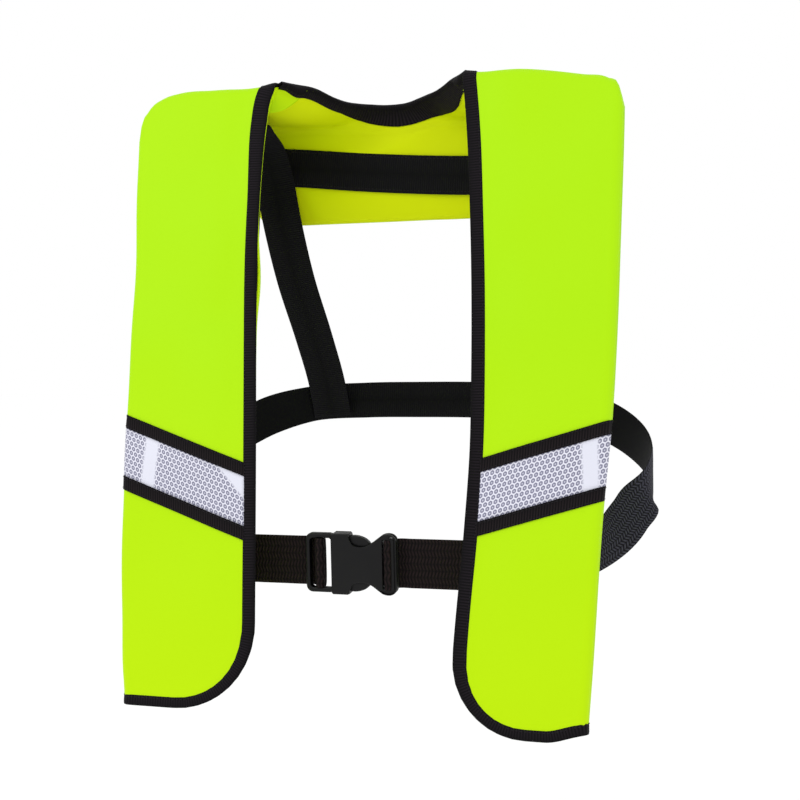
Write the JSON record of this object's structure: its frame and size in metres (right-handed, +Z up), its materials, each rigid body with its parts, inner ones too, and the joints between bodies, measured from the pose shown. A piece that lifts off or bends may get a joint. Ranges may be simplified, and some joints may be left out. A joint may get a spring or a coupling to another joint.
{
  "type": "inflatable life jacket",
  "caption": "Inflatable life jacket with two bound front lobes that open, a back yoke, reflective tape, webbing harness, waist belt with a side-release buckle, and a gas inflator inside.",
  "frame": {"origin": "middle of the neck opening at shoulder level, on the plane of symmetry", "axes": "+Z up, the front of the jacket faces -Y, +X towards the wearer's left"},
  "size_m": [0.485, 0.3023, 0.5619],
  "materials": {
    "cover_fabric": "smooth coated fluorescent yellow-green cloth",
    "lining_fabric": "the same cloth, inner face, more olive",
    "binding": "ribbed black binding tape",
    "reflective_tape": "silver-white retroreflective tape with honeycomb cells",
    "hook_and_loop": "black hook and loop tape",
    "bladder_fabric": "coated orange-yellow bladder cloth",
    "webbing": "black woven webbing",
    "buckle_plastic": "satin black moulded plastic",
    "inflator_plastic": "dark grey moulded plastic",
    "lever_plastic": "red moulded plastic",
    "nut_metal": "plated steel",
    "gasket_rubber": "black rubber",
    "cylinder_steel": "plated steel gas cylinder",
    "clip_plastic": "green moulded plastic",
    "pull_webbing": "red woven tape",
    "tube_rubber": "black rubber",
    "valve_plastic": "red moulded plastic",
    "cap_plastic": "black moulded plastic",
    "whistle_plastic": "orange moulded plastic",
    "loop_elastic": "black elastic tape"
  },
  "bodies": {
    "harness": {"yoke_cover": "cover_fabric", "upper_cover_left": "cover_fabric", "upper_cover_right": "cover_fabric", "yoke_lining": "lining_fabric", "lobe_lining_left": "lining_fabric", "lobe_lining_right": "lining_fabric", "neck_binding": "binding", "closure_loops_left": "hook_and_loop", "closure_loops_right": "hook_and_loop", "bladder_collar": "bladder_fabric", "bladder_left": "bladder_fabric", "bladder_right": "bladder_fabric", "belt_side_left": "webbing", "belt_side_right": "webbing", "belt_back": "webbing", "housing_strap": "webbing", "belt_loop_left": "webbing", "belt_loop_right": "webbing", "back_strap_left": "webbing", "back_strap_right": "webbing", "shoulder_strap_left": "webbing", "shoulder_strap_right": "webbing", "yoke_webbing": "webbing", "buckle_housing": "buckle_plastic", "inflator_body": "inflator_plastic", "inflator_nut": "nut_metal", "cylinder_gasket": "gasket_rubber", "safety_clip": "clip_plastic", "oral_tube": "tube_rubber", "whistle_loop": "loop_elastic"},
    "buckle_plug": {"buckle_plug": "buckle_plastic", "plug_strap": "webbing"},
    "latch_upper": {"latch_arm_upper": "buckle_plastic"},
    "latch_lower": {"latch_arm_lower": "buckle_plastic"},
    "cover_left": {"lobe_cover_left": "cover_fabric", "edge_binding_left": "binding", "reflective_tape_left": "reflective_tape", "tape_edging_upper_left": "binding", "tape_edging_lower_left": "binding", "closure_hooks_left": "hook_and_loop"},
    "cover_right": {"lobe_cover_right": "cover_fabric", "edge_binding_right": "binding", "reflective_tape_right": "reflective_tape", "tape_edging_upper_right": "binding", "tape_edging_lower_right": "binding", "closure_hooks_right": "hook_and_loop"},
    "lever": {"inflator_lever": "lever_plastic", "pull_tab": "pull_webbing"},
    "cylinder": {"co2_cylinder": "cylinder_steel"},
    "oral_cap": {"oral_cap": "cap_plastic"},
    "oral_valve": {"oral_valve": "valve_plastic"},
    "whistle": {"whistle": "whistle_plastic"}
  },
  "joints": [
    {"name": "buckle_release", "type": "slide", "parent": "harness", "child": "buckle_plug", "axis": [-1, 0, 0], "range_m": [0, 0.04]},
    {"name": "latch_upper_squeeze", "type": "hinge", "parent": "buckle_plug", "child": "latch_upper", "pos_m": [-0.0275, -0.081, -0.3889], "axis": [0, 1, 0], "range_deg": [0, 6], "stiffness_Nm_per_rad": 0.3},
    {"name": "latch_lower_squeeze", "type": "hinge", "parent": "buckle_plug", "child": "latch_lower", "pos_m": [-0.0275, -0.081, -0.4291], "axis": [0, -1, 0], "range_deg": [0, 6], "stiffness_Nm_per_rad": 0.3},
    {"name": "cover_left_open", "type": "hinge", "parent": "harness", "child": "cover_left", "pos_m": [0.222, -0.05803, -0.12716], "axis": [0.0535, 0.2076, 0.9767], "range_deg": [0, 100]},
    {"name": "cover_right_open", "type": "hinge", "parent": "harness", "child": "cover_right", "pos_m": [-0.222, -0.05803, -0.12716], "axis": [0.0535, -0.2076, -0.9767], "range_deg": [0, 100]},
    {"name": "inflator_pull", "type": "hinge", "parent": "harness", "child": "lever", "pos_m": [-0.187, -0.11819, -0.48477], "axis": [0, 0.9781, -0.2079], "range_deg": [0, 75]},
    {"name": "cylinder_unscrew", "type": "slide", "parent": "harness", "child": "cylinder", "axis": [0, 0.2079, 0.9781], "range_m": [0, 0.012]},
    {"name": "oral_cap_pull", "type": "slide", "parent": "harness", "child": "oral_cap", "axis": [0, 0.2079, 0.9781], "range_m": [0, 0.014]},
    {"name": "oral_valve_press", "type": "slide", "parent": "harness", "child": "oral_valve", "axis": [0, -0.2079, -0.9781], "range_m": [0, 0.003], "stiffness_N_per_m": 150, "springref_m": -0.0005},
    {"name": "whistle_draw", "type": "slide", "parent": "harness", "child": "whistle", "axis": [0, 0.2079, 0.9781], "range_m": [0, 0.05]}
  ]
}
